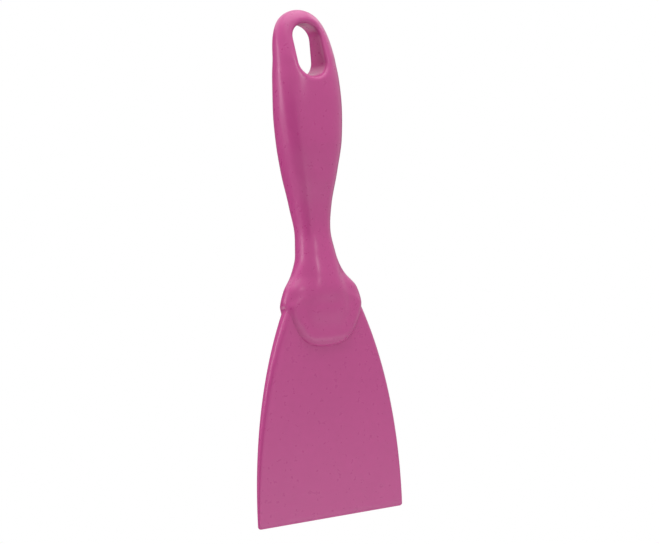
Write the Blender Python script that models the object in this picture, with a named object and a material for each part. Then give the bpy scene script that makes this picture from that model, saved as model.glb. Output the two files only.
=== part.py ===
"""Hand scraper in two moulded pieces.

The blade is a wedge plate, thin at its scraping edge, with a keyed tang. The
handle is moulded round that tang: a hub whose front and back tongues clasp the
blade, a waisted grip, and a loop with a hanging hole.

Metres, +Z up the handle, X across the blade, the front face looks along -Y.
The origin is the middle of the scraping edge.
"""

import math

import bmesh
import bpy

MM = 0.001

# Clearance between the handle and what it is moulded round
GAP = 0.3 * MM

# Blade plate
EDGE_WIDTH = 75.0 * MM
EDGE_THICKNESS = 1.7 * MM
EDGE_LAND = 0.8 * MM
EDGE_BEVEL = 1.0 * MM
EDGE_CORNER = 1.0 * MM
EDGE_ROUNDING = 0.5 * MM
BLADE_HEIGHT = 99.5 * MM
SHOULDER_WIDTH = 36.0 * MM
SHOULDER_THICKNESS = 8.7 * MM
SHOULDER_ROUNDING = 1.6 * MM
SIDE_DRAW_IN = 20.95 * MM
SIDE_BOW = 0.815

# Tang, from the blade's shoulder up into the grip
SHOULDER_RISE = 3.0 * MM
TANG_LENGTH = 48.5 * MM
TANG_WIDTH = 8.0 * MM
TANG_THICKNESS = 5.0 * MM
TANG_ROUNDING = 1.2 * MM

# Key holes that the handle's posts fill
HUB_KEY_RADIUS = 2.6 * MM
HUB_KEY_SPACING = 16.0 * MM
HUB_KEY_DROP = 9.5 * MM
TANG_KEY_RADIUS = 1.8 * MM
TANG_KEY_DROP = 9.0 * MM

# Hub, whose drops are taken from the blade's shoulder and whose walls clasp it
TONGUE_DROP = 21.5 * MM
TONGUE_LIP = 0.8 * MM
TONGUE_ROUNDING = 2.2 * MM
TONGUE_TAPER = 0.53
TONGUE_CURVE = 1.2
TONGUE_FULLNESS = 12.0
HUB_DROP = 2.5 * MM
HUB_OVERHANG = 1.9 * MM
HUB_WALL = 3.85 * MM
HUB_SET_BACK = 0.7 * MM
NOTCH_RISE = 1.6 * MM
NOTCH_HEIGHT = 6.0 * MM

# Grip, each rise taken from the station below it
CREST_RISE = 6.5 * MM
CREST_WIDTH = 36.0 * MM
CREST_DEPTH = 17.2 * MM
CREST_SET_BACK = 0.5 * MM
FLARE_RISE = 7.0 * MM
FLARE_WIDTH = 25.0 * MM
FLARE_DEPTH = 17.2 * MM
FLARE_SET_BACK = 1.7 * MM
WAIST_RISE = 8.5 * MM
WAIST_WIDTH = 17.3 * MM
WAIST_DEPTH = 16.2 * MM
WAIST_SET_BACK = 3.5 * MM
NECK_RISE = 10.0 * MM
NECK_SIDE_WALL = 3.5 * MM
NECK_FACE_WALL = 5.2 * MM
NECK_SET_BACK = 5.2 * MM
FINGER_RISE = 12.0 * MM
FINGER_WIDTH = 17.5 * MM
FINGER_DEPTH = 18.6 * MM
FINGER_SET_BACK = 6.2 * MM
PALM_RISE = 15.0 * MM
PALM_WIDTH = 23.8 * MM
PALM_DEPTH = 22.6 * MM
PALM_SET_BACK = 5.6 * MM
SWELL_RISE = 14.5 * MM
SWELL_WIDTH = 28.8 * MM
SWELL_DEPTH = 24.0 * MM
SWELL_SET_BACK = 4.5 * MM
GRIP_RISE = 15.0 * MM
GRIP_WIDTH = 30.8 * MM
GRIP_DEPTH = 22.6 * MM
GRIP_SET_BACK = 4.3 * MM

# Loop at the top
LOOP_RISE = 12.0 * MM
LOOP_WIDTH = 30.3 * MM
LOOP_DEPTH = 19.8 * MM
LOOP_SET_BACK = 4.0 * MM
CROWN_RISE = 9.5 * MM
CROWN_WIDTH = 28.6 * MM
CROWN_DEPTH = 17.2 * MM
CROWN_SET_BACK = 4.5 * MM
CROWN_HEIGHT = 22.0 * MM
CROWN_ROUNDING = 7.0 * MM
CROWN_LEAN = 0.25
CROWN_FULLNESS = 2.7

# Hanging hole, measured to its plain wall inside the rounded rims
HOLE_WIDTH = 13.8 * MM
HOLE_LENGTH = 24.0 * MM
HOLE_BELOW_TIP = 6.7 * MM
HOLE_RIM = 2.2 * MM
HOLE_RIM_TURN = 72.0
HOLE_RIM_RUN_OUT = 1.1 * MM

# Squareness of the handle's sections, 2 is an ellipse
HUB_POWER = 3.4
CREST_POWER = 2.3
GRIP_POWER = 2.8

# Largest part of a section's half thickness that its rounding may take
ROUNDING_LIMIT = 0.9

# Small flat that closes a rounded end, as a part of the section next to it
END_FLAT = 0.45

# Mesh fineness
SECTION_POINTS = 40
CORNER_STEPS = 4
EDGE_CORNER_STEPS = 3
BLADE_STEPS = 14
STATION_STEPS = 3
HUB_STEPS = 10
CROWN_STEPS = 7
HOLE_TURN_STEPS = 16
RIM_STEPS = 4
NOTCH_STEPS = 10
POST_SIDES = 24

# Material
PINK = (0.523, 0.080, 0.275, 1.0)
ROUGHNESS = 0.38

# Angles in degrees, below which faces merge into one flat and edges shade smooth
FLAT_ANGLE = 0.02
SMOOTH_ANGLE = 35.0

# Sizes worked out from those above
HUB_Z = BLADE_HEIGHT - HUB_DROP
TONGUE_Z = BLADE_HEIGHT - TONGUE_DROP
HUB_RISE = HUB_Z - TONGUE_Z
HUB_WIDTH = SHOULDER_WIDTH + 2 * HUB_OVERHANG
HUB_DEPTH = SHOULDER_THICKNESS + 2 * HUB_WALL
NECK_WIDTH = TANG_WIDTH + 2 * NECK_SIDE_WALL
NECK_DEPTH = TANG_THICKNESS + 2 * NECK_FACE_WALL
BLADE_TAPER = (SHOULDER_THICKNESS - EDGE_THICKNESS) / BLADE_HEIGHT


def grip_stations():
    """Rows of height, half width, half depth, set back and squareness from the hub upward."""
    rows = [
        (0.0, HUB_WIDTH, HUB_DEPTH, HUB_SET_BACK, HUB_POWER),
        (CREST_RISE, CREST_WIDTH, CREST_DEPTH, CREST_SET_BACK, CREST_POWER),
        (FLARE_RISE, FLARE_WIDTH, FLARE_DEPTH, FLARE_SET_BACK, GRIP_POWER),
        (WAIST_RISE, WAIST_WIDTH, WAIST_DEPTH, WAIST_SET_BACK, GRIP_POWER),
        (NECK_RISE, NECK_WIDTH, NECK_DEPTH, NECK_SET_BACK, GRIP_POWER),
        (FINGER_RISE, FINGER_WIDTH, FINGER_DEPTH, FINGER_SET_BACK, GRIP_POWER),
        (PALM_RISE, PALM_WIDTH, PALM_DEPTH, PALM_SET_BACK, GRIP_POWER),
        (SWELL_RISE, SWELL_WIDTH, SWELL_DEPTH, SWELL_SET_BACK, GRIP_POWER),
        (GRIP_RISE, GRIP_WIDTH, GRIP_DEPTH, GRIP_SET_BACK, GRIP_POWER),
        (LOOP_RISE, LOOP_WIDTH, LOOP_DEPTH, LOOP_SET_BACK, GRIP_POWER),
        (CROWN_RISE, CROWN_WIDTH, CROWN_DEPTH, CROWN_SET_BACK, GRIP_POWER),
    ]
    stations = []
    height = HUB_Z
    for rise, width, depth, set_back, power in rows:
        height += rise
        stations.append((height, width / 2, depth / 2, set_back, power))
    return stations


STATIONS = grip_stations()
CROWN_Z = STATIONS[-1][0]
TIP_Z = CROWN_Z + CROWN_HEIGHT


def knot_slopes(heights, values):
    """Slopes of a smooth curve that never overshoots its knots."""
    spans = [b - a for a, b in zip(heights, heights[1:])]
    rates = [(b - a) / span for a, b, span in zip(values, values[1:], spans)]
    slopes = [rates[0]]
    for before, after in zip(rates, rates[1:]):
        if before * after <= 0:
            slopes.append(0.0)
        else:
            slopes.append(2 * before * after / (before + after))
    slopes.append(rates[-1])
    return slopes


def smooth_value(column, height):
    """Value of one column of the stations at a height, on a smooth curve."""
    heights = [row[0] for row in STATIONS]
    values = [row[column] for row in STATIONS]
    slopes = knot_slopes(heights, values)
    if column in (1, 2):
        slopes[0] = 0.0
    last = len(heights) - 2
    index = max(0, min(last, sum(height >= knot for knot in heights) - 1))
    span = heights[index + 1] - heights[index]
    t = (height - heights[index]) / span
    start, end = values[index], values[index + 1]
    start_pull = slopes[index] * span
    end_pull = slopes[index + 1] * span
    return (
        start * (1 + 2 * t) * (1 - t) ** 2
        + start_pull * t * (1 - t) ** 2
        + end * t * t * (3 - 2 * t)
        + end_pull * t * t * (t - 1)
    )


def hub_section(height):
    """Section of the tongues, between their tips and the hub's widest line."""
    share = (HUB_Z - height) / HUB_RISE
    half_width = HUB_WIDTH / 2 * (1 - TONGUE_TAPER * share**TONGUE_CURVE)
    half_width *= math.sqrt(max(0.0, 1 - share**TONGUE_FULLNESS))
    tip_depth = blade_half_thickness(TONGUE_Z) + TONGUE_LIP + TONGUE_ROUNDING
    half_depth = tip_depth + (HUB_DEPTH / 2 - tip_depth) * (1 - share)
    above_tip = height - TONGUE_Z
    if above_tip < TONGUE_ROUNDING:
        inset = TONGUE_ROUNDING - above_tip
        half_depth -= TONGUE_ROUNDING - math.sqrt(TONGUE_ROUNDING**2 - inset**2)
    set_back = HUB_SET_BACK * (1 - share) ** 2
    return half_width, half_depth, set_back, HUB_POWER


def crown_section(height):
    """Section of the rounded top, which goes on with the taper that it meets."""
    below, (_, half_width, half_depth, set_back, power) = STATIONS[-2:]
    rise = height - CROWN_Z
    share = min(1.0, rise / CROWN_HEIGHT)
    taper = (below[1] - half_width) / CROWN_RISE
    straight = 2 * CROWN_HEIGHT * taper / half_width
    rounding_start = CROWN_HEIGHT - CROWN_ROUNDING
    into_rounding = min(1.0, max(0.0, rise - rounding_start) / CROWN_ROUNDING)
    half_width *= math.sqrt(max(0.0, 1 - straight * share - (1 - straight) * share**CROWN_FULLNESS))
    half_depth -= (below[2] - half_depth) / CROWN_RISE * min(rise, rounding_start)
    half_depth *= math.sqrt(1 - into_rounding**2)
    return half_width, half_depth, set_back + CROWN_LEAN * rise, power


def handle_section(height):
    """Half width, half depth, set back and squareness of the handle at a height."""
    if height < HUB_Z:
        return hub_section(height)
    if height > CROWN_Z:
        return crown_section(height)
    return tuple(smooth_value(column, height) for column in (1, 2, 3, 4))


def handle_surface(x, height, side):
    """Y of the handle's front (side -1) or back (side +1) surface."""
    half_width, half_depth, set_back, power = handle_section(height)
    reach = min(1.0, abs(x) / half_width)
    return set_back + side * half_depth * (1 - reach**power) ** (1 / power)


def blade_half_width(height):
    """Half width of the plate, drawn in along bowed sides that end straight under the hub."""
    share = (height / BLADE_HEIGHT) ** 2
    bowed = EDGE_WIDTH / 2 - SIDE_DRAW_IN * share * (SIDE_BOW + (1 - SIDE_BOW) * share)
    half_width = max(bowed, SHOULDER_WIDTH / 2)
    if height < EDGE_CORNER:
        half_width -= EDGE_CORNER - math.sqrt(EDGE_CORNER**2 - (EDGE_CORNER - height) ** 2)
    return half_width


def blade_half_thickness(height):
    """Half thickness of the wedge, bevelled down to the land at its edge."""
    half = (EDGE_THICKNESS + BLADE_TAPER * height) / 2
    if height < EDGE_BEVEL:
        bevel_top = (EDGE_THICKNESS + BLADE_TAPER * EDGE_BEVEL) / 2
        half = EDGE_LAND / 2 + (bevel_top - EDGE_LAND / 2) * height / EDGE_BEVEL
    return half


def rounded_rectangle(half_x, half_y, radius):
    """Points round a rectangle with rounded corners."""
    radius = min(radius, ROUNDING_LIMIT * half_x, ROUNDING_LIMIT * half_y)
    points = []
    for quarter in range(4):
        corner_x = (half_x - radius) * (1, -1, -1, 1)[quarter]
        corner_y = (half_y - radius) * (1, 1, -1, -1)[quarter]
        for step in range(CORNER_STEPS + 1):
            angle = math.pi / 2 * (quarter + step / CORNER_STEPS)
            points.append((corner_x + radius * math.cos(angle), corner_y + radius * math.sin(angle)))
    return points


def superellipse(half_x, half_y, power):
    """Points round a superellipse."""
    points = []
    for step in range(SECTION_POINTS):
        angle = 2 * math.pi * step / SECTION_POINTS
        cosine, sine = math.cos(angle), math.sin(angle)
        x = math.copysign(abs(cosine) ** (2 / power), cosine)
        y = math.copysign(abs(sine) ** (2 / power), sine)
        points.append((half_x * x, half_y * y))
    return points


def ring(points, set_back, height):
    """Section points lifted to their height."""
    return [(x, y + set_back, height) for x, y in points]


def loft(rings):
    """Closed skin through rings of equal point count."""
    bm = bmesh.new()
    rows = [[bm.verts.new(point) for point in points] for points in rings]
    for lower, upper in zip(rows, rows[1:]):
        for index in range(len(lower)):
            following = (index + 1) % len(lower)
            bm.faces.new((lower[index], lower[following], upper[following], upper[index]))
    bm.faces.new(rows[0])
    bm.faces.new(rows[-1])
    bmesh.ops.recalc_face_normals(bm, faces=bm.faces)
    return bm


def merge_flat_faces(bm):
    """Join faces that lie in one plane."""
    bmesh.ops.dissolve_limit(bm, angle_limit=math.radians(FLAT_ANGLE), verts=bm.verts, edges=bm.edges)


def make_object(name, bm, collection):
    """Object from a finished bmesh."""
    mesh = bpy.data.meshes.new(name)
    bm.to_mesh(mesh)
    bm.free()
    obj = bpy.data.objects.new(name, mesh)
    collection.objects.link(obj)
    return obj


def plate_heights():
    """Heights of the plate's sections, closer together at the rounded corners of its edge."""
    turns = [math.pi / 2 * step / EDGE_CORNER_STEPS for step in range(EDGE_CORNER_STEPS + 1)]
    heights = {EDGE_CORNER * (1 - math.cos(turn)) for turn in turns}
    heights.add(EDGE_BEVEL)
    edge_top = max(heights)
    rise = BLADE_HEIGHT - edge_top
    heights.update(edge_top + rise * step / BLADE_STEPS for step in range(1, BLADE_STEPS + 1))
    return sorted(heights)


def plate_rings(gap):
    """Sections of the plate and its tang, grown by a gap all round."""
    rings = []
    for height in plate_heights():
        half_width = blade_half_width(height) + gap
        half_thickness = blade_half_thickness(height) + gap
        share = height / BLADE_HEIGHT
        rounding = EDGE_ROUNDING + (SHOULDER_ROUNDING - EDGE_ROUNDING) * share + gap
        rings.append(ring(rounded_rectangle(half_width, half_thickness, rounding), 0.0, height))
    tang = rounded_rectangle(TANG_WIDTH / 2 + gap, TANG_THICKNESS / 2 + gap, TANG_ROUNDING + gap)
    tang_start = BLADE_HEIGHT + SHOULDER_RISE + gap
    tang_end = BLADE_HEIGHT + TANG_LENGTH + gap
    for step in range(BLADE_STEPS + 1):
        height = tang_start + (tang_end - tang_start) * step / BLADE_STEPS
        rings.append(ring(tang, tang_set_back(height), height))
    return rings


def tang_set_back(height):
    """The tang keeps to the middle of the handle's section."""
    return handle_section(height)[2]


def key_cutters(collection, prefix, gap):
    """Cylinders for the key holes, drawn in by the gap for the handle's posts."""
    hub_z = BLADE_HEIGHT - HUB_KEY_DROP
    tang_z = BLADE_HEIGHT + TANG_LENGTH - TANG_KEY_DROP
    places = [
        (-HUB_KEY_SPACING / 2, 0.0, hub_z, HUB_KEY_RADIUS),
        (HUB_KEY_SPACING / 2, 0.0, hub_z, HUB_KEY_RADIUS),
        (0.0, tang_set_back(tang_z), tang_z, TANG_KEY_RADIUS),
    ]
    length = SHOULDER_THICKNESS + HUB_DEPTH
    cutters = []
    for index, (x, y, z, radius) in enumerate(places):
        bm = bmesh.new()
        bmesh.ops.create_cone(
            bm, cap_ends=True, segments=POST_SIDES, radius1=radius - gap, radius2=radius - gap, depth=length
        )
        cutter = make_object(f"{prefix}_{index + 1}", bm, collection)
        cutter.rotation_euler = (math.radians(90), 0.0, 0.0)
        cutter.location = (x, y, z)
        cutters.append(cutter)
    return cutters


def cut(target, cutter):
    """Take a cutter's shape out of a solid."""
    modifier = target.modifiers.new(f"cut_{cutter.name}", "BOOLEAN")
    modifier.operation = "DIFFERENCE"
    modifier.solver = "EXACT"
    modifier.object = cutter
    cutter.hide_render = True
    cutter.display_type = "WIRE"


def build_blade(parts, cutters):
    """Wedge plate with its tang and key holes."""
    bm = loft(plate_rings(0.0))
    merge_flat_faces(bm)
    blade = make_object("blade", bm, parts)
    for cutter in key_cutters(cutters, "key_hole", 0.0):
        cut(blade, cutter)
    return blade


def handle_heights():
    """Heights of the handle's sections, closer together at both rounded ends."""
    heights = [TONGUE_Z + HUB_RISE * (step / HUB_STEPS) ** 2 for step in range(HUB_STEPS + 1)]
    knots = [row[0] for row in STATIONS]
    for low, high in zip(knots, knots[1:]):
        heights += [low + (high - low) * step / STATION_STEPS for step in range(1, STATION_STEPS + 1)]
    for step in range(1, CROWN_STEPS):
        heights.append(CROWN_Z + CROWN_HEIGHT * math.sin(math.pi / 2 * step / CROWN_STEPS))
    heights.append(TIP_Z)
    return heights


def handle_rings():
    """Sections of the handle's outer skin, with small flats that close both ends."""
    heights = handle_heights()
    sampled = [handle_section(height) for height in heights]
    sampled[0] = (END_FLAT * sampled[1][0],) + sampled[0][1:]
    last_width = END_FLAT * sampled[-2][0]
    last_depth = END_FLAT * sampled[-2][1]
    sampled[-1] = (last_width, last_depth) + sampled[-1][2:]
    rings = []
    for height, (half_width, half_depth, set_back, power) in zip(heights, sampled):
        rings.append(ring(superellipse(half_width, half_depth, power), set_back, height))
    return rings


def build_cavity(cutters):
    """Room for the blade and tang, with the posts left standing in the key holes."""
    cavity = make_object("cavity", loft(plate_rings(GAP)), cutters)
    for cutter in key_cutters(cutters, "key_post", GAP):
        cut(cavity, cutter)
    return cavity


def build_notch(cutters):
    """Arched notch in each side of the hub, where the blade's side runs out."""
    base = HUB_Z + NOTCH_RISE - NOTCH_HEIGHT
    half_base = blade_half_thickness(base)
    angles = [math.pi * step / NOTCH_STEPS for step in range(NOTCH_STEPS + 1)]
    outline = [(half_base * math.cos(angle), base + NOTCH_HEIGHT * math.sin(angle)) for angle in angles]
    rings = [[(side * HUB_WIDTH, y, z) for y, z in outline] for side in (-1, 1)]
    return make_object("notch", loft(rings), cutters)


def hole_outline():
    """Points and outward directions round the hanging hole, as a slot with round ends."""
    radius = HOLE_WIDTH / 2
    top = TIP_Z - HOLE_BELOW_TIP - radius
    bottom = TIP_Z - HOLE_BELOW_TIP - HOLE_LENGTH + radius
    outline = []
    for centre, start in ((top, 0.0), (bottom, math.pi)):
        for step in range(HOLE_TURN_STEPS + 1):
            angle = start + math.pi * step / HOLE_TURN_STEPS
            across, up = math.cos(angle), math.sin(angle)
            outline.append((radius * across, centre + radius * up, across, up))
    return outline


def hole_ring(outline, spread, side, depth):
    """Slot outline spread outward, at a depth under the front or back surface."""
    points = []
    for x, z, across, up in outline:
        wide_x = x + across * spread
        wide_z = z + up * spread
        points.append((wide_x, handle_surface(wide_x, wide_z, side) - side * depth, wide_z))
    return points


def build_hole(cutters):
    """Slot through the loop whose rims are rounded over onto both faces."""
    outline = hole_outline()
    last_angle = math.radians(HOLE_RIM_TURN)
    angles = [last_angle * step / RIM_STEPS for step in range(RIM_STEPS + 1)]
    rim = [(HOLE_RIM * (1 - math.cos(angle)), HOLE_RIM * (1 - math.sin(angle))) for angle in angles]
    spread = rim[-1][0] + HOLE_RIM_RUN_OUT * math.sin(last_angle)
    rim.append((spread, rim[-1][1] - HOLE_RIM_RUN_OUT * math.cos(last_angle)))
    rim.append((spread, -HOLE_RIM))
    rings = [hole_ring(outline, spread, -1, depth) for spread, depth in reversed(rim)]
    rings += [hole_ring(outline, spread, 1, depth) for spread, depth in rim]
    return make_object("hanging_hole", loft(rings), cutters)


def build_handle(parts, cutters):
    """Hub, grip and loop in one moulding."""
    handle = make_object("handle", loft(handle_rings()), parts)
    for cutter in (build_cavity(cutters), build_notch(cutters), build_hole(cutters)):
        cut(handle, cutter)
    return handle


def dress(obj, name):
    """Satin plastic, shaded smooth except at real edges."""
    material = bpy.data.materials.new(name)
    material.use_nodes = True
    shader = material.node_tree.nodes["Principled BSDF"]
    shader.inputs["Base Color"].default_value = PINK
    shader.inputs["Roughness"].default_value = ROUGHNESS
    shader.inputs["Metallic"].default_value = 0.0
    material.diffuse_color = PINK
    obj.data.materials.append(material)
    obj.data.shade_smooth()
    obj.data.set_sharp_from_angle(angle=math.radians(SMOOTH_ANGLE))


def new_collection(name):
    """Collection in the scene."""
    collection = bpy.data.collections.new(name)
    bpy.context.scene.collection.children.link(collection)
    return collection


def main():
    for obj in list(bpy.data.objects):
        bpy.data.objects.remove(obj)
    parts = new_collection("hand_scraper")
    cutters = new_collection("cutters")
    dress(build_blade(parts, cutters), "blade_plastic")
    dress(build_handle(parts, cutters), "handle_plastic")


main()
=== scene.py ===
"""Hand scraper in satin pink plastic, standing on its scraping edge in a plain pale studio.

The blade is a wedge plate with bowed sides and a keyed tang. The handle is moulded
round the tang: a hub whose tongues clasp the blade, a waisted grip, and a loop with
a slotted hanging hole.
"""

import math

import bmesh
import bpy
from bpy.props import FloatProperty, FloatVectorProperty, IntProperty, PointerProperty
from bpy.types import Operator, Panel, PropertyGroup
from mathutils import Matrix, Vector


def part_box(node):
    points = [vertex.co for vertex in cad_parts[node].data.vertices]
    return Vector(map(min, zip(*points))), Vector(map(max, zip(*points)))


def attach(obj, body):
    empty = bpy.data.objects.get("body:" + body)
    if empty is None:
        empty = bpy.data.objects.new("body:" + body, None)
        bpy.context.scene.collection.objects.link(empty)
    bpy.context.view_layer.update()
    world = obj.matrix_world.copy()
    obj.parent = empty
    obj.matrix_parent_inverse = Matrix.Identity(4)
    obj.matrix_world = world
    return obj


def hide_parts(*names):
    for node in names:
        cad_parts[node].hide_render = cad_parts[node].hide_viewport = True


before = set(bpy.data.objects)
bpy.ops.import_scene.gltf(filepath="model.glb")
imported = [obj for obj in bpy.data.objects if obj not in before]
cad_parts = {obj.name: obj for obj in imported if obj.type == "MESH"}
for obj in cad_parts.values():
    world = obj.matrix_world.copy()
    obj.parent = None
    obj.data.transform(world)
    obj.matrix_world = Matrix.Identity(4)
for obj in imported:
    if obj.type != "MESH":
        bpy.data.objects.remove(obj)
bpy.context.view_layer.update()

bl_info = {
    "name": "Hand Scraper",
    "version": (1, 0, 0),
    "blender": (4, 5, 0),
    "location": "View3D > Sidebar > Scraper",
    "description": "Builds a moulded plastic hand scraper and its studio",
    "category": "Object",
}

MM = 0.001
BLADE_LOW, BLADE_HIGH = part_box("blade")

# Columns of a grip station; once the rises are added up, the first holds the height
RISE, WIDTH, DEPTH, SET_BACK, CORE, WING = range(6)
HEIGHT = RISE
COLUMNS = "rise from the section below, width, depth, set back, width of core, depth of wings"
STATION_NAMES = (
    "hub", "crest", "flare", "waist", "neck", "finger", "palm", "swell", "grip", "loop", "crown",
)

# Settings


def length(label, about, default):
    """Length setting in metres."""
    return FloatProperty(
        name=label, description=about, default=default, unit="LENGTH", precision=5
    )


def number(label, about, default):
    """Setting without a unit."""
    return FloatProperty(name=label, description=about, default=default)


def degrees(label, about, default):
    """Angle setting whose default is given in degrees."""
    return FloatProperty(
        name=label, description=about, default=math.radians(default), subtype="ANGLE"
    )


def station(label, about, default):
    """Setting for one section of the grip, as six lengths with defaults in millimetres."""
    sizes = tuple(size * MM for size in default)
    return FloatVectorProperty(
        name=label, description=f"{about}: {COLUMNS}", size=len(sizes), default=sizes,
        unit="LENGTH", precision=5,
    )


class ScraperBladeSizes(PropertyGroup):
    """Sizes of the wedge plate and its tang."""

    edge_width: length("Edge width", "Width across the scraping edge", BLADE_HIGH.x - BLADE_LOW.x)
    edge_thickness: length("Edge thickness", "Thickness just above the edge's bevel", 1.7 * MM)
    edge_land: length("Edge land", "Flat along the very edge", 0.8 * MM)
    edge_bevel: length("Edge bevel", "Height of the bevel above the land", 1.0 * MM)
    edge_corner: length("Edge corner", "Radius at the two ends of the edge", 1.0 * MM)
    edge_rounding: length("Edge rounding", "Rounding of the sides at the edge", 0.6 * MM)
    height: length("Blade height", "From the edge to the shoulder", 99.5 * MM)
    shoulder_width: length("Shoulder width", "Width at the shoulder", 36.0 * MM)
    draw_in: length("Draw in", "How far each bowed side would draw in by the shoulder", 20.4 * MM)
    run_blend: length(
        "Run blend", "Blend between the bowed sides and the straight run at the shoulder", 0.8 * MM
    )
    shoulder_thickness: length("Shoulder thickness", "Thickness at the shoulder", 8.7 * MM)
    shoulder_rounding: length(
        "Shoulder rounding", "Rounding of the sides at the shoulder", 3.2 * MM
    )
    shoulder_rise: length(
        "Shoulder rise", "Height of the slope from the shoulder to the tang", 3.0 * MM
    )
    side_bow: number("Side bow", "How early the sides draw in", 0.815)
    tang_length: length("Tang length", "From the shoulder to the tang's end", 48.5 * MM)
    tang_width: length("Tang width", "Width of the tang", 8.0 * MM)
    tang_thickness: length("Tang thickness", "Thickness of the tang", 5.0 * MM)
    tang_rounding: length("Tang rounding", "Rounding of the tang's corners", 1.2 * MM)


class ScraperKeySizes(PropertyGroup):
    """Sizes of the key holes in the blade that the handle's posts fill."""

    hub_radius: length("Hub key radius", "Radius of the two key holes under the hub", 2.6 * MM)
    hub_spacing: length(
        "Hub key spacing", "Distance between the two key holes under the hub", 16.0 * MM
    )
    hub_drop: length(
        "Hub key drop", "From the shoulder down to the key holes under the hub", 9.5 * MM
    )
    tang_radius: length("Tang key radius", "Radius of the key hole in the tang", 1.8 * MM)
    tang_drop: length("Tang key drop", "From the tang's end down to its key hole", 9.0 * MM)
    clearance: length("Clearance", "Between the handle and what it is moulded round", 0.05 * MM)


class ScraperHandleSizes(PropertyGroup):
    """Sizes of the hub, the grip and the loop."""

    tongue_drop: length("Tongue drop", "From the blade's shoulder to the tongues' tips", 22.3 * MM)
    tongue_lip: length(
        "Tongue lip", "Height of the rim's centre of rounding over the blade", -3.4 * MM
    )
    tongue_rounding: length("Tongue rounding", "Radius of the tongues' rim", 6.0 * MM)
    plate_rounding: length(
        "Plate rounding", "Radius of the tongues' edge at the hub's widest line", 3.8 * MM
    )
    tongue_taper: number("Tongue taper", "How far the tongues narrow", 0.52)
    tongue_curve: number("Tongue curve", "Curve of the tongues' sides", 2.2)
    tongue_fullness: number("Tongue fullness", "Bluntness of the tongues", 12.0)
    hub_drop: length("Hub drop", "From the blade's shoulder to the hub's widest line", 2.5 * MM)
    cleft_top: length(
        "Cleft top", "Where the clefts in the hub's sides start, above its widest line", 1.0 * MM
    )
    cleft_run: length("Cleft run", "Height over which the clefts deepen", 2.6 * MM)
    cleft_depth: length("Cleft depth", "Full depth of the clefts", 1.2 * MM)
    cleft_width: length("Cleft width", "Half width of the clefts", 2.0 * MM)
    plate_fillet: length(
        "Plate fillet", "Blend between the hub's core and the plates of its tongues", 1.8 * MM
    )
    wing_fillet: length("Wing fillet", "Blend between the hub's core and its wings", 2.4 * MM)
    wing_run: length("Wing run", "Height over which the wings part from the tongues", 3.0 * MM)
    core_run: length("Core run", "How far down the core fades into the tongues", 14.0 * MM)
    core_power: number("Core squareness", "Squareness of the hub's core", 3.4)
    plate_hub: length(
        "Plate at the hub", "Width of the tongues' plates at the hub's widest line", 38.6 * MM
    )
    plate_crest: length("Plate at the crest", "Width of the plates at the crest", 20.0 * MM)
    plate_flare: length(
        "Plate at the flare", "Width of the plates where they end under the core", 14.0 * MM
    )
    plate_front: length(
        "Plate front", "Thickness of the plates at the hub, from the middle of the blade", 6.3 * MM
    )
    hub: station("Hub", "The widest line of the hub", (0, 39.6, 16.4, 0.7, 25.0, 12.9))
    crest: station("Crest", "Above the hub's widest line", (6.5, 36.0, 17.2, 0.5, 21.6, 12.6))
    flare: station("Flare", "Where the hub draws in", (7.0, 25.0, 17.2, 1.7, 18.6, 11.4))
    waist: station("Waist", "Foot of the neck", (8.5, 17.3, 16.2, 3.5, 17.3, 16.2))
    neck: station("Neck", "Narrowest section", (10.0, 15.0, 15.4, 5.2, 15.0, 15.4))
    finger: station("Finger", "Under the first finger", (12.0, 17.5, 18.6, 6.2, 17.5, 18.6))
    palm: station("Palm", "Lower palm", (15.0, 23.8, 22.5, 5.6, 23.8, 22.5))
    swell: station("Swell", "Deepest section", (14.5, 28.8, 24.0, 4.5, 28.8, 24.0))
    grip: station("Grip", "Widest section", (15.0, 30.8, 22.6, 4.3, 30.8, 22.6))
    loop: station("Loop", "Foot of the loop", (12.0, 30.3, 19.8, 4.0, 30.3, 19.8))
    crown: station("Crown", "Middle of the loop", (9.5, 28.6, 17.2, 4.4, 28.6, 17.2))
    crown_height: length("Crown height", "From the loop's middle to the tip", 22.0 * MM)
    crown_rounding: length("Crown rounding", "Depth over which the tip rounds off", 7.0 * MM)
    crown_lean: number("Crown lean", "How far the loop leans back as it rises", 0.25)
    crown_fullness: number("Crown fullness", "Bluntness of the loop's top", 3.0)
    hole_width: length("Hole width", "Across the hanging hole", 13.8 * MM)
    hole_length: length("Hole length", "Along the hanging hole", 24.0 * MM)
    hole_below_tip: length("Hole below tip", "From the tip to the top of the hole", 6.7 * MM)
    hole_rim: length("Hole rim", "Radius of the hole's rims", 2.2 * MM)
    wing_power: number("Wing squareness", "Squareness of the wings, 2 is an ellipse", 3.2)
    grip_power: number("Grip squareness", "Squareness of the grip, 2 is an ellipse", 2.8)
    loop_front_power: number("Loop front", "Squareness of the loop's front", 2.2)
    loop_back_power: number("Loop back", "Squareness of the loop's back", 3.6)
    voxel: length("Skin grid", "Grid that the finished skin is drawn on", 0.45 * MM)


class ScraperFinish(PropertyGroup):
    """Colour and surface of the plastic."""

    colour: FloatVectorProperty(
        name="Colour", description="Colour of the plastic", subtype="COLOR", size=3,
        default=(0.43, 0.050, 0.210),
    )
    drift: number("Colour drift", "Slow change of tone across a moulding", 0.05)
    roughness: number("Roughness", "Roughness of the satin skin", 0.29)
    grain: number("Grain", "Strength of the fine moulded grain", 0.05)
    wear: number("Wear", "Strength of the scuffs near the scraping edge", 0.35)
    wear_full: length("Wear full", "Height above the edge where the scuffs start to fade", 2.0 * MM)
    wear_end: length("Wear end", "Height above the edge where they have faded out", 26.0 * MM)


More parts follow.
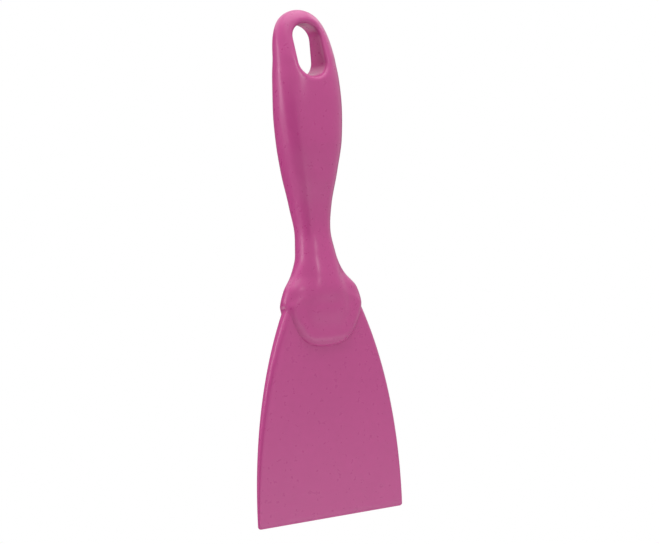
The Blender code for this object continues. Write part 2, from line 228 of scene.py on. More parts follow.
class ScraperStudio(PropertyGroup):
    """Camera, room light and floor."""

    aim: FloatVectorProperty(
        name="Aim", description="Point that the camera looks at", size=3,
        default=(0.003367, -0.00259, 0.111073), subtype="XYZ", unit="LENGTH", precision=6,
    )
    azimuth: degrees("Azimuth", "Camera to the left of the front", 29.958)
    elevation: degrees("Elevation", "Camera above the aim", 3.607)
    roll: degrees("Roll", "Camera turned on its axis", -2.769)
    distance: length("Distance", "From the camera to the aim", 0.7)
    lens: number("Lens", "Focal length on a 36 mm sensor, in millimetres", 85.438)
    ambient: number("Ambient", "Strength of the room's light", 0.42)
    floor_drop: length("Floor drop", "From the scraping edge down to the floor", 0.35)


class Scraper(PropertyGroup):
    """All settings of the hand scraper."""

    blade: PointerProperty(type=ScraperBladeSizes)
    keys: PointerProperty(type=ScraperKeySizes)
    handle: PointerProperty(type=ScraperHandleSizes)
    finish: PointerProperty(type=ScraperFinish)
    studio: PointerProperty(type=ScraperStudio)
    segments: IntProperty(
        name="Segments", description="Points round a section of the handle", default=144, min=24
    )


def settings():
    """The scene's settings for the scraper."""
    return bpy.context.scene.scraper


def blended_larger(first, second, blend):
    """The larger of two lengths, rounded off where they come close."""
    if blend <= 0:
        return max(first, second)
    near = max(blend - abs(first - second), 0.0) / blend
    return max(first, second) + near * near * blend / 4


def eased(value):
    """Smooth step from 0 to 1."""
    value = min(1.0, max(0.0, value))
    return value * value * (3 - 2 * value)


def lifted(points, set_back, height):
    """Section points moved back and up to their place."""
    return [(x, y + set_back, height) for x, y in points]


# Sections of the blade


def blade_half_width(height):
    """Half width of the plate, drawn in along bowed sides."""
    s = settings().blade
    share = (height / s.height) ** 2
    half_width = s.edge_width / 2 - s.draw_in * share * (s.side_bow + (1 - s.side_bow) * share)
    half_width = blended_larger(half_width, s.shoulder_width / 2, s.run_blend)
    if height < s.edge_corner:
        half_width -= s.edge_corner - math.sqrt(s.edge_corner**2 - (s.edge_corner - height) ** 2)
    return half_width


def blade_half_thickness(height):
    """Half thickness of the wedge, bevelled down to the land at its edge."""
    s = settings().blade
    taper = (s.shoulder_thickness - s.edge_thickness) / s.height
    half = (s.edge_thickness + taper * height) / 2
    if height < s.edge_bevel:
        bevel_top = (s.edge_thickness + taper * s.edge_bevel) / 2
        half = s.edge_land / 2 + (bevel_top - s.edge_land / 2) * height / s.edge_bevel
    return half


CORNER_STEPS = 8
FACE_STEPS = 24
SIDE_STEPS = 6
CORNER_SIGNS = ((1, 1), (-1, 1), (-1, -1), (1, -1))
QUARTER_TURN = math.pi / 2
# Largest rounding, as a share of a section's half width and half thickness
ROUNDING_LIMIT = 0.9


def rounded_rectangle(half_x, half_y, radius):
    """Points round a rectangle with rounded corners, its sides divided as well."""
    radius = min(radius, ROUNDING_LIMIT * half_x, ROUNDING_LIMIT * half_y)
    flat_x, flat_y = half_x - radius, half_y - radius
    points = []
    for corner, (sign_x, sign_y) in enumerate(CORNER_SIGNS):
        for step in range(CORNER_STEPS + 1):
            angle = QUARTER_TURN * (corner + step / CORNER_STEPS)
            x = sign_x * flat_x + radius * math.cos(angle)
            y = sign_y * flat_y + radius * math.sin(angle)
            points.append((x, y))
        along_face = corner % 2 == 0
        start_x, start_y = points[-1]
        end_x, end_y = (-start_x, start_y) if along_face else (start_x, -start_y)
        steps = FACE_STEPS if along_face else SIDE_STEPS
        for step in range(1, steps):
            share = (1 - math.cos(math.pi * step / steps)) / 2
            x = start_x + (end_x - start_x) * share
            y = start_y + (end_y - start_y) * share
            points.append((x, y))
    return points


BLADE_STEPS = 60
EDGE_STEPS = 8
TANG_STEPS = 24


def plate_heights():
    """Heights of the plate's sections, close together at its edge."""
    s = settings().blade
    turns = [QUARTER_TURN * step / EDGE_STEPS for step in range(EDGE_STEPS + 1)]
    heights = {s.edge_corner * (1 - math.cos(turn)) for turn in turns}
    heights.add(s.edge_bevel)
    top = max(heights)
    rise = s.height - top
    heights.update(top + rise * step / BLADE_STEPS for step in range(1, BLADE_STEPS + 1))
    return sorted(heights)


def plate_rings(gap):
    """Sections of the plate and its tang, grown by a gap all round."""
    s = settings().blade
    rings = []
    for height in plate_heights():
        half_x, half_y = blade_half_width(height) + gap, blade_half_thickness(height) + gap
        rounding = s.edge_rounding + (s.shoulder_rounding - s.edge_rounding) * height / s.height
        rings.append(lifted(rounded_rectangle(half_x, half_y, rounding + gap), 0.0, height))
    half_x, half_y = s.tang_width / 2 + gap, s.tang_thickness / 2 + gap
    tang = rounded_rectangle(half_x, half_y, s.tang_rounding + gap)
    start = s.height + s.shoulder_rise + gap
    end = s.height + s.tang_length + gap
    for step in range(TANG_STEPS + 1):
        height = start + (end - start) * step / TANG_STEPS
        rings.append(lifted(tang, handle_section(height)["set_back"], height))
    return rings


# Sections of the handle


def hub_height():
    """Height of the hub's widest line."""
    return settings().blade.height - settings().handle.hub_drop


def tongue_height():
    """Height of the tongues' tips."""
    return settings().blade.height - settings().handle.tongue_drop


def stations():
    """Rows of height, width, depth, set back, core and wing from the hub up."""
    rows = []
    height = hub_height()
    for name in STATION_NAMES:
        sizes = getattr(settings().handle, name)
        height += sizes[RISE]
        rows.append((height, *sizes[WIDTH:]))
    return rows


def tip_height():
    """Height of the loop's tip."""
    return stations()[-1][HEIGHT] + settings().handle.crown_height


def knot_slopes(heights, values):
    """Slopes of a smooth curve that never overshoots its knots."""
    spans = [b - a for a, b in zip(heights, heights[1:])]
    rates = [(b - a) / span for a, b, span in zip(values, values[1:], spans)]
    slopes = [rates[0]]
    for before, after in zip(rates, rates[1:]):
        slopes.append(0.0 if before * after <= 0 else 2 * before * after / (before + after))
    slopes.append(rates[-1])
    return slopes


def smooth_value(rows, column, height):
    """Value of one column of the stations at a height, on a smooth curve."""
    heights = [row[HEIGHT] for row in rows]
    values = [row[column] for row in rows]
    slopes = knot_slopes(heights, values)
    if column not in (SET_BACK, WING):
        slopes[0] = 0.0
    last = len(heights) - 2
    index = max(0, min(last, sum(height >= knot for knot in heights) - 1))
    span = heights[index + 1] - heights[index]
    t = (height - heights[index]) / span
    return (
        values[index] * (1 + 2 * t) * (1 - t) ** 2
        + slopes[index] * span * t * (1 - t) ** 2
        + values[index + 1] * t * t * (3 - 2 * t)
        + slopes[index + 1] * span * t * t * (t - 1)
    )


# Share of the tongues' length over which their edge takes its full rounding
EDGE_RUN = 0.5


def tongue_section(rows, height):
    """Section of the tongues, between their tips and the hub's widest line."""
    s = settings().handle
    widest = rows[0]
    drop = hub_height() - height
    share = drop / (hub_height() - tongue_height())
    full = 1 - s.tongue_taper * share**s.tongue_curve
    full *= math.sqrt(max(0.0, 1 - share**s.tongue_fullness))
    tip_depth = blade_half_thickness(tongue_height()) + s.tongue_lip + s.tongue_rounding
    plate_depth = tip_depth + (s.plate_front - tip_depth) * (1 - share)
    above_tip = height - tongue_height()
    if above_tip < s.tongue_rounding:
        inset = s.tongue_rounding - above_tip
        plate_depth -= s.tongue_rounding - math.sqrt(s.tongue_rounding**2 - inset**2)
    core_end = eased(1 - drop / s.core_run)
    rounded = min(1.0, share / EDGE_RUN)
    return {
        "half_width": 0.0,
        "half_depth": plate_depth + (widest[DEPTH] / 2 - plate_depth) * core_end,
        "set_back": widest[SET_BACK] * (1 - share) ** 2,
        "core": widest[CORE] / 2 * full,
        "wing": 0.0,
        "plate": s.plate_hub / 2 * full,
        "plate_depth": plate_depth,
        "plate_radius": s.plate_rounding + (s.tongue_rounding - s.plate_rounding) * rounded,
    }


def crown_section(rows, height):
    """Section of the rounded top, which goes on with the taper that it meets."""
    s = settings().handle
    below, crown = rows[-2:]
    rise = height - crown[HEIGHT]
    share = min(1.0, rise / s.crown_height)
    span = crown[HEIGHT] - below[HEIGHT]
    taper = (below[WIDTH] - crown[WIDTH]) / span
    straight = 2 * s.crown_height * taper / crown[WIDTH]
    left_over = 1 - straight * share - (1 - straight) * share**s.crown_fullness
    half_width = crown[WIDTH] / 2 * math.sqrt(max(0.0, left_over))
    rounding_start = s.crown_height - s.crown_rounding
    into_rounding = min(1.0, max(0.0, rise - rounding_start) / s.crown_rounding)
    half_depth = crown[DEPTH] / 2
    half_depth -= (below[DEPTH] - crown[DEPTH]) / 2 / span * min(rise, rounding_start)
    half_depth *= math.sqrt(1 - into_rounding**2)
    return {
        "half_width": half_width,
        "half_depth": half_depth,
        "set_back": crown[SET_BACK] + s.crown_lean * rise,
        "core": half_width,
        "wing": half_depth,
        "plate": 0.0,
    }


def grip_section(rows, height):
    """Section between the hub's widest line and the loop's middle."""
    s = settings().handle
    width, depth, set_back, core, wing = (
        smooth_value(rows, column, height) for column in (WIDTH, DEPTH, SET_BACK, CORE, WING)
    )
    plate_widths = (s.plate_hub, s.plate_crest, s.plate_flare)
    plates = [(row[HEIGHT], plate_width) for row, plate_width in zip(rows, plate_widths)]
    plate = smooth_value(plates, WIDTH, height) if height < plates[-1][HEIGHT] else 0.0
    return {
        "half_width": width / 2,
        "half_depth": depth / 2,
        "set_back": set_back,
        "core": core / 2,
        "wing": wing / 2,
        "plate": plate / 2,
        "plate_depth": s.plate_front,
        "plate_radius": s.plate_rounding,
    }


def handle_section(height):
    """Sizes of the handle's section at a height."""
    s = settings().handle
    rows = stations()
    hub, crown = rows[0][HEIGHT], rows[-1][HEIGHT]
    flare, grip = (rows[STATION_NAMES.index(name)][HEIGHT] for name in ("flare", "grip"))
    if height < hub:
        section = tongue_section(rows, height)
    elif height > crown:
        section = crown_section(rows, height)
    else:
        section = grip_section(rows, height)
    up_hub = eased((height - hub) / (flare - hub))
    up_loop = eased((height - grip) / (crown - grip))
    core_power = s.core_power + (s.grip_power - s.core_power) * up_hub
    section["wing_power"] = s.wing_power + (s.grip_power - s.wing_power) * up_hub
    section["front_power"] = core_power + (s.loop_front_power - core_power) * up_loop
    section["back_power"] = core_power + (s.loop_back_power - core_power) * up_loop
    section["wing_back"] = (
        section["wing"] + (section["half_depth"] - section["wing"]) * up_hub**2
    )
    section["fillet"] = s.wing_fillet * eased((height - hub) / s.wing_run)
    section["cleft"] = s.cleft_depth * eased((hub + s.cleft_top - height) / s.cleft_run)
    return section


def reach(across, back, half_x, half_y, power):
    """Distance from the middle of a superellipse to its skin, along a direction."""
    return ((abs(across) / half_x) ** power + (abs(back) / half_y) ** power) ** (-1 / power)


def plate_reach(across, back, half_x, half_y, radius):
    """The same for a rectangle with rounded corners."""
    across, back = abs(across), abs(back)
    radius = min(radius, half_x, half_y)
    corner_x, corner_y = half_x - radius, half_y - radius
    if across * corner_y >= back * half_x:
        return half_x / across
    if back * corner_x >= across * half_y:
        return half_y / back
    along = across * corner_x + back * corner_y
    return along + math.sqrt(max(0.0, along**2 - corner_x**2 - corner_y**2 + radius**2))


# Share of the width by which a core has to be narrower for the whole fillet
FILLET_RUN = 0.25


def section_points(section, count):
    """Points round a section of the handle, its core, plates and wings blended."""
    s = settings().handle
    half_width, half_depth = section["half_width"], section["half_depth"]
    widest = max(half_width, section["plate"])
    narrower = abs(1 - section["core"] / widest)
    fillet = section["fillet"] * min(1.0, narrower / FILLET_RUN)
    points = []
    for step in range(count):
        turn = 2 * math.pi * step / count
        across, back = widest * math.cos(turn), half_depth * math.sin(turn)
        size = math.hypot(across, back)
        across, back = across / size, back / size
        power = section["front_power"] if back < 0 else section["back_power"]
        radius = 0.0
        if section["core"] > 0:
            radius = reach(across, back, section["core"], half_depth, power)
        if section["plate"] > 0:
            plate = plate_reach(
                across, back, section["plate"], section["plate_depth"], section["plate_radius"]
            )
            radius = blended_larger(radius, plate, s.plate_fillet)
        if half_width > 0:
            wing_power = section["wing_power"] if section["core"] < half_width else power
            wing_depth = section["wing"] if back < 0 else section["wing_back"]
            wing = reach(across, back, half_width, wing_depth, wing_power)
            radius = blended_larger(radius, wing, fillet)
        in_cleft = math.exp(-((radius * back / s.cleft_width) ** 2))
        radius -= section["cleft"] * in_cleft * abs(across)
        points.append((radius * across, radius * back))
    return points


TONGUE_STEPS = 40
GRIP_STEP = 1.0 * MM
CROWN_STEPS = 26
# Size of the flats at both ends, as a share of the section next to them
END_FLAT = 0.45


def handle_heights():
    """Heights of the handle's sections, closer together at both rounded ends."""
    tongue, hub, crown = tongue_height(), hub_height(), stations()[-1][HEIGHT]
    crown_height = settings().handle.crown_height
    shares = [(step / TONGUE_STEPS) ** 2 for step in range(1, TONGUE_STEPS + 1)]
    heights = [tongue + (hub - tongue) * share for share in shares]
    steps = round((crown - hub) / GRIP_STEP)
    heights += [hub + (crown - hub) * step / steps for step in range(1, steps + 1)]
    turns = [QUARTER_TURN * step / CROWN_STEPS for step in range(1, CROWN_STEPS)]
    heights += [crown + crown_height * math.sin(turn) for turn in turns]
    return heights


def end_flat(section, keys):
    """Copy of an end section, drawn in to the small flat that closes the skin."""
    return {key: size * END_FLAT if key in keys else size for key, size in section.items()}


def handle_rings():
    """Sections of the handle's outer skin, with small flats that close both ends."""
    count = settings().segments
    heights = handle_heights()
    sections = [handle_section(height) for height in heights]
    tongue = end_flat(sections[0], ("core", "plate"))
    crown = end_flat(sections[-1], ("half_width", "half_depth", "core", "wing", "wing_back"))
    heights = [tongue_height(), *heights, tip_height()]
    return [
        lifted(section_points(section, count), section["set_back"], height)
        for section, height in zip([tongue, *sections, crown], heights)
    ]


def handle_surface(x, height, side):
    """Y of the handle's front (side -1) or back (side +1) surface above the hub."""
    section = handle_section(height)
    power = section["front_power"] if side < 0 else section["back_power"]
    share = min(1.0, abs(x) / section["half_width"])
    return section["set_back"] + side * section["half_depth"] * (1 - share**power) ** (1 / power)


# Mesh tools


def lofted(rings):
    """Closed skin: a circle is drawn up ring by ring, and each ring takes its section's shape."""
    bm = bmesh.new()
    place = bm.verts.layers.int.new("place")
    bmesh.ops.create_circle(bm, segments=len(rings[0]), radius=1.0)
    bm.verts.ensure_lookup_table()
    for index, vert in enumerate(bm.verts):
        vert[place] = index
        vert.co = rings[0][index]
    first = edges = list(bm.edges)
    for points in rings[1:]:
        made = bmesh.ops.extrude_edge_only(bm, edges=edges)["geom"]
        edges = [item for item in made if isinstance(item, bmesh.types.BMEdge)]
        for item in made:
            if isinstance(item, bmesh.types.BMVert):
                item.co = points[item[place]]
    bmesh.ops.contextual_create(bm, geom=first)
    bmesh.ops.contextual_create(bm, geom=edges)
    bmesh.ops.recalc_face_normals(bm, faces=bm.faces)
    return bm


def new_object(name, bm):
    """Object in the scene from a finished bmesh."""
    mesh = bpy.data.meshes.new(name)
    bm.to_mesh(mesh)
    bm.free()
    obj = bpy.data.objects.new(name, mesh)
    bpy.context.scene.collection.objects.link(obj)
    return obj


def cut(target, cutter):
    """Take a cutter's shape out of a solid."""
    modifier = target.modifiers.new(f"cut_{cutter.name}", "BOOLEAN")
    modifier.operation = "DIFFERENCE"
    modifier.solver = "EXACT"
    modifier.object = cutter


def apply_modifiers(obj):
    """Replace an object's mesh with the one that its modifiers make."""
    depsgraph = bpy.context.evaluated_depsgraph_get()
    finished = bpy.data.meshes.new_from_object(obj.evaluated_get(depsgraph))
    obj.modifiers.clear()
    old = obj.data
    obj.data = finished
    bpy.data.meshes.remove(old)
    finished.name = obj.name


def discard(objects):
    """Remove cutters once they have done their work."""
    for obj in objects:
        mesh = obj.data
        bpy.data.objects.remove(obj)
        bpy.data.meshes.remove(mesh)


POST_SEGMENTS = 48


def key_cylinders(gap):
    """Cylinders through the key holes, drawn in by the gap."""
    blade, keys, handle = settings().blade, settings().keys, settings().handle
    hub_z = blade.height - keys.hub_drop
    tang_z = blade.height + blade.tang_length - keys.tang_drop
    places = (
        (-keys.hub_spacing / 2, 0.0, hub_z, keys.hub_radius),
        (keys.hub_spacing / 2, 0.0, hub_z, keys.hub_radius),
        (0.0, handle_section(tang_z)["set_back"], tang_z, keys.tang_radius),
    )
    made = []
    for x, y, z, radius in places:
        bm = bmesh.new()
        turned = Matrix.Translation((x, y, z)) @ Matrix.Rotation(QUARTER_TURN, 4, "X")
        bmesh.ops.create_cone(
            bm, cap_ends=True, segments=POST_SEGMENTS, radius1=radius - gap, radius2=radius - gap,
            depth=2 * handle.hub[DEPTH], matrix=turned,
        )
        made.append(new_object("key", bm))
    return made


HOLE_STEPS = 48
RIM_STEPS = 12
# How far the rims round over before they run out straight
RIM_TURN = math.radians(78)


def hole_cutter():
    """Slot through the loop whose rims are rounded over onto both faces."""
    s = settings().handle
    radius = s.hole_width / 2
    top = tip_height() - s.hole_below_tip - radius
    bottom = top - s.hole_length + 2 * radius
    outline = []
    for centre, start in ((top, 0.0), (bottom, math.pi)):
        for step in range(HOLE_STEPS + 1):
            angle = start + math.pi * step / HOLE_STEPS
            outline.append((centre, math.cos(angle), math.sin(angle)))
    turns = [RIM_TURN * step / RIM_STEPS for step in range(RIM_STEPS + 1)]
    rim = [
        (s.hole_rim * (1 - math.cos(turn)), s.hole_rim * (1 - math.sin(turn))) for turn in turns
    ]
    spread, depth = rim[-1]
    spread += s.hole_rim / 2 * math.sin(RIM_TURN)
    depth -= s.hole_rim / 2 * math.cos(RIM_TURN)
    rim += [(spread, depth), (spread, -s.hole_rim)]

    def ring(spread, depth, side):
        """Ring of the cutter, spread out from the hole and sunk under one face."""
        points = []
        for centre, across, up in outline:
            x, z = (radius + spread) * across, centre + (radius + spread) * up
            points.append((x, handle_surface(x, z, side) - side * depth, z))
        return points

    rings = [ring(spread, depth, -1) for spread, depth in reversed(rim)]
    rings += [ring(spread, depth, 1) for spread, depth in rim]
    return new_object("hanging_hole", lofted(rings))


SMOOTH_ANGLE = math.radians(35)


def finish_piece(obj, node, slot):
    """Give a piece its material, its shading and its place in the frame."""
    obj.data.materials.append(plastic(slot))
    obj.data.shade_smooth()
    obj.data.set_sharp_from_angle(angle=SMOOTH_ANGLE)
    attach(obj, "root")
    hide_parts(node)


# Materials

# Noises of the moulded skin, in cycles per metre
CLOUD_SCALE = 28.0
MOTTLE_SCALE = 420.0
GRAIN_SCALE = 2600.0
SCUFF_SCALE = 190.0
# Weight of the cloud against the mottle in the colour, and of the mottle in the roughness
CLOUD_WEIGHT = 2.0
MOTTLE_ROUGHNESS = 0.10
# Scuffs: thin slanting lines where their noise lies above a band of values
SCUFF_SLANT = math.radians(24)
SCUFF_STRETCH = 14.0
SCUFF_LOW = 0.60
SCUFF_HIGH = 0.74
SCUFF_COLOUR = (0.75, 0.35, 0.55, 1.0)
SCUFF_PALENESS = 0.35
SCUFF_ROUGHNESS = 0.25
SCUFF_DEPTH = 0.6
# Depth of the grain and index of refraction of the plastic
GRAIN_DEPTH = 0.05 * MM
PLASTIC_IOR = 1.5


def socket(group, name, direction, kind):
    """Named socket of a node group."""
    return group.interface.new_socket(name=name, in_out=direction, socket_type=kind)


def link(tree, source, target):
    """Join two sockets."""
    tree.links.new(source, target)


def math_node(tree, operation, first, second=None, third=None, clamp=False):
    """Math node whose inputs are sockets or numbers; returns its output."""
    node = tree.nodes.new("ShaderNodeMath")
    node.operation = operation
    node.use_clamp = clamp
    for index, value in enumerate((first, second, third)):
        if isinstance(value, bpy.types.NodeSocket):
            link(tree, value, node.inputs[index])
        elif value is not None:
            node.inputs[index].default_value = value
    return node.outputs[0]


def ramp(tree, value, low, high):
    """Smooth step of a value between two limits, as a number from 0 to 1."""
    node = tree.nodes.new("ShaderNodeMapRange")
    node.interpolation_type = "SMOOTHSTEP"
    node.inputs["From Min"].default_value = low
    node.inputs["From Max"].default_value = high
    link(tree, value, node.inputs["Value"])
    return node.outputs["Result"]


def noise(tree, vector, scale, detail=2.0, roughness=0.5):
    """Noise texture over a position; returns its value."""
    node = tree.nodes.new("ShaderNodeTexNoise")
    node.inputs["Scale"].default_value = scale
    node.inputs["Detail"].default_value = detail
    node.inputs["Roughness"].default_value = roughness
    link(tree, vector, node.inputs["Vector"])
    return node.outputs["Fac"]


def centred(tree, value):
    """A noise's value, moved to lie round zero."""
    return math_node(tree, "SUBTRACT", value, 0.5)


def moulded_skin_group():
    """Colour drift, satin grain and fine scuffs of a moulded plastic skin."""
    name = "Moulded skin"
    if name in bpy.data.node_groups:
        return bpy.data.node_groups[name]
    group = bpy.data.node_groups.new(name, "ShaderNodeTree")
    socket(group, "Colour", "INPUT", "NodeSocketColor").default_value = (0.8, 0.8, 0.8, 1.0)
    for label, default in (("Drift", 0.05), ("Roughness", 0.35), ("Scuffs", 0.2)):
        share = socket(group, label, "INPUT", "NodeSocketFloat")
        share.default_value, share.min_value, share.max_value = default, 0.0, 1.0
    socket(group, "Colour", "OUTPUT", "NodeSocketColor")
    socket(group, "Roughness", "OUTPUT", "NodeSocketFloat")
    socket(group, "Height", "OUTPUT", "NodeSocketFloat")
    nodes = group.nodes
    inputs = nodes.new("NodeGroupInput")
    outputs = nodes.new("NodeGroupOutput")
    place = nodes.new("ShaderNodeTexCoord").outputs["Object"]

    cloud = centred(group, noise(group, place, CLOUD_SCALE, detail=3.0))
    mottle = centred(group, noise(group, place, MOTTLE_SCALE))
    grain = noise(group, place, GRAIN_SCALE, detail=3.0, roughness=0.6)

    tone = math_node(group, "MULTIPLY_ADD", cloud, CLOUD_WEIGHT, mottle)
    tone = math_node(group, "MULTIPLY_ADD", tone, inputs.outputs["Drift"], 1.0)
    shaded = nodes.new("ShaderNodeVectorMath")
    shaded.operation = "SCALE"
    link(group, inputs.outputs["Colour"], shaded.inputs[0])
    link(group, tone, shaded.inputs["Scale"])

    stretch = nodes.new("ShaderNodeMapping")
    stretch.inputs["Rotation"].default_value = (0.0, SCUFF_SLANT, 0.0)
    stretch.inputs["Scale"].default_value = (1.0, 1.0, SCUFF_STRETCH)
    link(group, place, stretch.inputs["Vector"])
    stretched = stretch.outputs["Vector"]
    lines = noise(group, stretched, SCUFF_SCALE, detail=4.0, roughness=0.62)
    scuffs = ramp(group, lines, SCUFF_LOW, SCUFF_HIGH)
    scuffs = math_node(group, "MULTIPLY", scuffs, inputs.outputs["Scuffs"])

    pale = nodes.new("ShaderNodeMix")
    pale.data_type = "RGBA"
    link(group, math_node(group, "MULTIPLY", scuffs, SCUFF_PALENESS), pale.inputs["Factor"])
    link(group, shaded.outputs[0], pale.inputs["A"])
    pale.inputs["B"].default_value = SCUFF_COLOUR
    link(group, pale.outputs["Result"], outputs.inputs["Colour"])

    rough = inputs.outputs["Roughness"]
    rough = math_node(group, "MULTIPLY_ADD", mottle, MOTTLE_ROUGHNESS, rough)
    rough = math_node(group, "MULTIPLY_ADD", scuffs, SCUFF_ROUGHNESS, rough, clamp=True)
    link(group, rough, outputs.inputs["Roughness"])

    height = math_node(group, "MULTIPLY_ADD", scuffs, -SCUFF_DEPTH, grain)
    link(group, height, outputs.inputs["Height"])
    return group


def plastic(name):
    """Satin moulded plastic whose scuffs fade out above the scraping edge."""
    s = settings().finish
    material = bpy.data.materials.new(name)
    material.use_nodes = True
    tree = material.node_tree
    shader = tree.nodes["Principled BSDF"]
    skin = tree.nodes.new("ShaderNodeGroup")
    skin.node_tree = moulded_skin_group()
    skin.inputs["Colour"].default_value = (*s.colour, 1.0)
    skin.inputs["Drift"].default_value = s.drift
    skin.inputs["Roughness"].default_value = s.roughness

    place = tree.nodes.new("ShaderNodeTexCoord")
    apart = tree.nodes.new("ShaderNodeSeparateXYZ")
    link(tree, place.outputs["Object"], apart.inputs["Vector"])
    away = ramp(tree, apart.outputs["Z"], s.wear_full, s.wear_end)
    near = math_node(tree, "SUBTRACT", 1.0, away)
    link(tree, math_node(tree, "MULTIPLY", near, s.wear), skin.inputs["Scuffs"])

    bump = tree.nodes.new("ShaderNodeBump")
    bump.inputs["Strength"].default_value = s.grain
    bump.inputs["Distance"].default_value = GRAIN_DEPTH
    link(tree, skin.outputs["Height"], bump.inputs["Height"])
    link(tree, skin.outputs["Colour"], shader.inputs["Base Color"])
    link(tree, skin.outputs["Roughness"], shader.inputs["Roughness"])
    link(tree, bump.outputs["Normal"], shader.inputs["Normal"])
    shader.inputs["IOR"].default_value = PLASTIC_IOR
    return material


def matt_grey(name, shade, roughness, gloss):
    """Plain grey material for the floor and the cards."""
    material = bpy.data.materials.new(name)
    material.use_nodes = True
    shader = material.node_tree.nodes["Principled BSDF"]
    shader.inputs["Base Color"].default_value = (shade, shade, shade, 1.0)
    shader.inputs["Roughness"].default_value = roughness
    shader.inputs["Specular IOR Level"].default_value = gloss
    return material


# Stage

# Middle of the scraper, which every light faces
MIDDLE = Vector((0.0, 0.0, 0.12))


def area_light(name, place, width, height, power, glossy):
    """Rectangular softbox turned to the scraper, or a fill if it isn't glossy."""
    light = bpy.data.lights.new(name, "AREA")
    light.shape = "RECTANGLE"
    light.size, light.size_y = width, height
    light.energy = power
    obj = bpy.data.objects.new(name, light)
    obj.location = place
    obj.rotation_euler = (MIDDLE - Vector(place)).to_track_quat("-Z", "Y").to_euler()
    obj.visible_camera = False
    obj.visible_glossy = glossy
    bpy.context.scene.collection.objects.link(obj)


def around(azimuth, elevation, distance=1.0):
    """Point round the scraper, its azimuth counted to the left of the front."""
    turn, rise = math.radians(azimuth), math.radians(elevation)
    across, out, up = math.sin(turn), math.cos(turn), math.sin(rise)
    return Vector((-across * math.cos(rise), -out * math.cos(rise), up)) * distance + MIDDLE


SENSOR_WIDTH = 36.0
CLIP_START = 0.02


def build_camera():
    """Camera at the photograph's viewing angle."""
    s = settings().studio
    forward = Vector((
        math.sin(s.azimuth) * math.cos(s.elevation),
        math.cos(s.azimuth) * math.cos(s.elevation),
        -math.sin(s.elevation),
    ))
    place = Matrix.Translation(Vector(s.aim) - s.distance * forward)
    upright = forward.to_track_quat("-Z", "Y").to_matrix().to_4x4()
    camera = bpy.data.objects.new("camera", bpy.data.cameras.new("camera"))
    camera.matrix_world = place @ upright @ Matrix.Rotation(s.roll, 4, "Z")
    camera.data.lens = s.lens
    camera.data.sensor_width = SENSOR_WIDTH
    camera.data.clip_start = CLIP_START
    bpy.context.scene.collection.objects.link(camera)
    bpy.context.scene.camera = camera


def build_world():
    """Even room light, with a white background for what is seen or mirrored."""
    world = bpy.data.worlds.new("room")
    bpy.context.scene.world = world
    world.use_nodes = True
    tree = world.node_tree
    background = tree.nodes["Background"]
    path = tree.nodes.new("ShaderNodeLightPath")
    seen = math_node(tree, "MAXIMUM", path.outputs["Is Camera Ray"], path.outputs["Is Glossy Ray"])
    seen = math_node(tree, "MAXIMUM", seen, path.outputs["Is Transmission Ray"])
    strength = tree.nodes.new("ShaderNodeMix")
    strength.data_type = "FLOAT"
    link(tree, seen, strength.inputs["Factor"])
    strength.inputs["A"].default_value = settings().studio.ambient
    strength.inputs["B"].default_value = 1.0
    link(tree, strength.outputs["Result"], background.inputs["Strength"])
    background.inputs["Color"].default_value = (1.0, 1.0, 1.0, 1.0)


FLOOR_RADIUS = 1.15
FLOOR_SEGMENTS = 96
FLOOR_SHADE = 0.9


def build_floor():
    """Plain pale floor well below the scraper."""
    bm = bmesh.new()
    below = Matrix.Translation((0.0, 0.0, -settings().studio.floor_drop))
    bmesh.ops.create_circle(
        bm, cap_ends=True, segments=FLOOR_SEGMENTS, radius=FLOOR_RADIUS, matrix=below
    )
    floor = new_object("floor", bm)
    floor.data.materials.append(matt_grey("pale_floor", FLOOR_SHADE, roughness=0.9, gloss=0.5))


CARD_RADIUS = 1.3
CARD_LOW = -0.34
CARD_STEPS = 24
# Grey cards, one of them nearly black, which keep the left side and the back deep pink.
# Each has a name, the azimuths where it starts and ends, the height of its top and a shade.
CARDS = (
    ("left_front_card", 30, 104, 0.49, 0.2),
    ("left_card", 104, 146, 0.6, 0.55),
    ("left_back_card", 146, 178, 0.7, 0.05),
    ("back_card", 178, 250, 0.42, 0.25),
)


def build_card(name, start, end, top, shade):
    """Curved card beside the set, which only tones the reflections."""
    bm = bmesh.new()
    bmesh.ops.create_vert(bm, co=(0.0, -CARD_RADIUS, CARD_LOW))
    turned = Matrix.Rotation(-math.radians(start), 3, "Z")
    bmesh.ops.rotate(bm, verts=bm.verts, cent=(0, 0, 0), matrix=turned)
    raised = bmesh.ops.duplicate(bm, geom=list(bm.verts))["geom"]
    bmesh.ops.translate(bm, verts=raised, vec=(0.0, 0.0, top - CARD_LOW))
    edge = bmesh.ops.contextual_create(bm, geom=list(bm.verts))["edges"]
    bmesh.ops.spin(
        bm, geom=list(bm.verts) + edge, cent=(0, 0, 0), axis=(0, 0, 1),
        angle=-math.radians(end - start), steps=CARD_STEPS,
    )
    obj = new_object(name, bm)
    obj.data.materials.append(matt_grey(name, shade, roughness=1.0, gloss=0.0))
    obj.visible_camera = False
    obj.visible_diffuse = False
    obj.visible_transmission = False
    obj.visible_shadow = False


# Lights, each with a name, a place, a width, a height and a power in watts
SOFTBOXES = (
    ("left_back_softbox", around(128, 14), 0.32, 0.35, 0.85),
    ("front_lamp", around(-5, 32), 0.08, 0.25, 1.1),
    ("right_softbox", around(-100, 42), 0.5, 0.4, 1.0),
    ("low_softbox", around(-10, -40, 0.62), 0.9, 0.4, 1.15),
    ("top_softbox", (0.0, 0.05, 1.2), 1.2, 1.2, 6.0),
)
FILLS = (
    ("left_fill", around(128, 8), 0.8, 0.6, 5.2),
    ("top_fill", (0.0, -0.2, 1.15), 1.0, 1.0, 8.5),
)


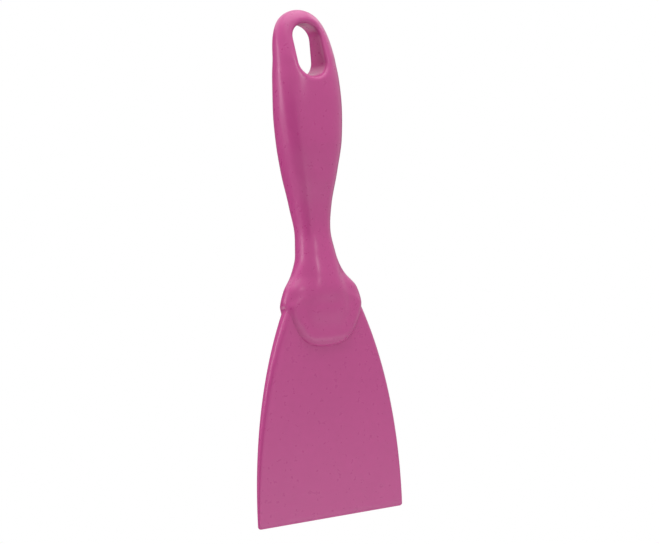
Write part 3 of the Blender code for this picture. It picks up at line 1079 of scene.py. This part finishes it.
def build_lights():
    """Softboxes left, right, below and overhead, a lamp in front, and two fills without gloss."""
    for row in SOFTBOXES:
        area_light(*row, glossy=True)
    for row in FILLS:
        area_light(*row, glossy=False)


# Operators

# Factor and passes of the smoothing that settles the handle's skin
SETTLE_FACTOR = 0.5
SETTLE_PASSES = 30


class SCRAPER_OT_blade(Operator):
    """Build the wedge blade with its keyed tang"""

    bl_idname = "scraper.blade"
    bl_label = "Blade"

    def execute(self, context):
        blade = new_object("scraper_blade", lofted(plate_rings(0.0)))
        cutters = key_cylinders(0.0)
        for cutter in cutters:
            cut(blade, cutter)
        apply_modifiers(blade)
        discard(cutters)
        finish_piece(blade, "blade", "blade_plastic")
        return {"FINISHED"}


class SCRAPER_OT_handle(Operator):
    """Build the hub, the grip and the loop in one moulding"""

    bl_idname = "scraper.handle"
    bl_label = "Handle"

    def execute(self, context):
        clearance = settings().keys.clearance
        handle = new_object("scraper_handle", lofted(handle_rings()))
        hole = hole_cutter()
        cut(handle, hole)
        skin = handle.modifiers.new("skin", "REMESH")
        skin.mode = "VOXEL"
        skin.voxel_size = settings().handle.voxel
        settle = handle.modifiers.new("settle", "SMOOTH")
        settle.factor = SETTLE_FACTOR
        settle.iterations = SETTLE_PASSES
        apply_modifiers(handle)
        cavity = new_object("cavity", lofted(plate_rings(clearance)))
        posts = key_cylinders(clearance)
        for post in posts:
            cut(cavity, post)
        apply_modifiers(cavity)
        cut(handle, cavity)
        apply_modifiers(handle)
        discard([hole, cavity, *posts])
        finish_piece(handle, "handle", "handle_plastic")
        return {"FINISHED"}


class SCRAPER_OT_stage(Operator):
    """Build the floor, the room's light, the softboxes and the camera"""

    bl_idname = "scraper.stage"
    bl_label = "Stage"

    def execute(self, context):
        context.scene.view_settings.view_transform = "Standard"
        build_world()
        build_floor()
        for row in CARDS:
            build_card(*row)
        build_lights()
        build_camera()
        return {"FINISHED"}


class SCRAPER_PT_panel(Panel):
    """Settings and pieces of the hand scraper"""

    bl_idname = "SCRAPER_PT_panel"
    bl_label = "Hand Scraper"
    bl_space_type = "VIEW_3D"
    bl_region_type = "UI"
    bl_category = "Scraper"

    def draw(self, context):
        scraper = context.scene.scraper
        for label, group in (
            ("Blade", scraper.blade), ("Keys", scraper.keys), ("Handle", scraper.handle),
            ("Finish", scraper.finish), ("Studio", scraper.studio),
        ):
            box = self.layout.box()
            box.label(text=label)
            for name in group.__annotations__:
                box.prop(group, name)
        self.layout.prop(scraper, "segments")
        for operator in (SCRAPER_OT_blade, SCRAPER_OT_handle, SCRAPER_OT_stage):
            self.layout.operator(operator.bl_idname)


CLASSES = (
    ScraperBladeSizes,
    ScraperKeySizes,
    ScraperHandleSizes,
    ScraperFinish,
    ScraperStudio,
    Scraper,
    SCRAPER_OT_blade,
    SCRAPER_OT_handle,
    SCRAPER_OT_stage,
    SCRAPER_PT_panel,
)


def register():
    """Add the scraper's settings, operators and panel to Blender."""
    for item in CLASSES:
        bpy.utils.register_class(item)
    bpy.types.Scene.scraper = PointerProperty(type=Scraper)


def unregister():
    """Take them out again."""
    del bpy.types.Scene.scraper
    for item in reversed(CLASSES):
        bpy.utils.unregister_class(item)


def main():
    """Build everything."""
    register()
    bpy.ops.scraper.blade()
    bpy.ops.scraper.handle()
    bpy.ops.scraper.stage()


if __name__ == "__main__":
    main()
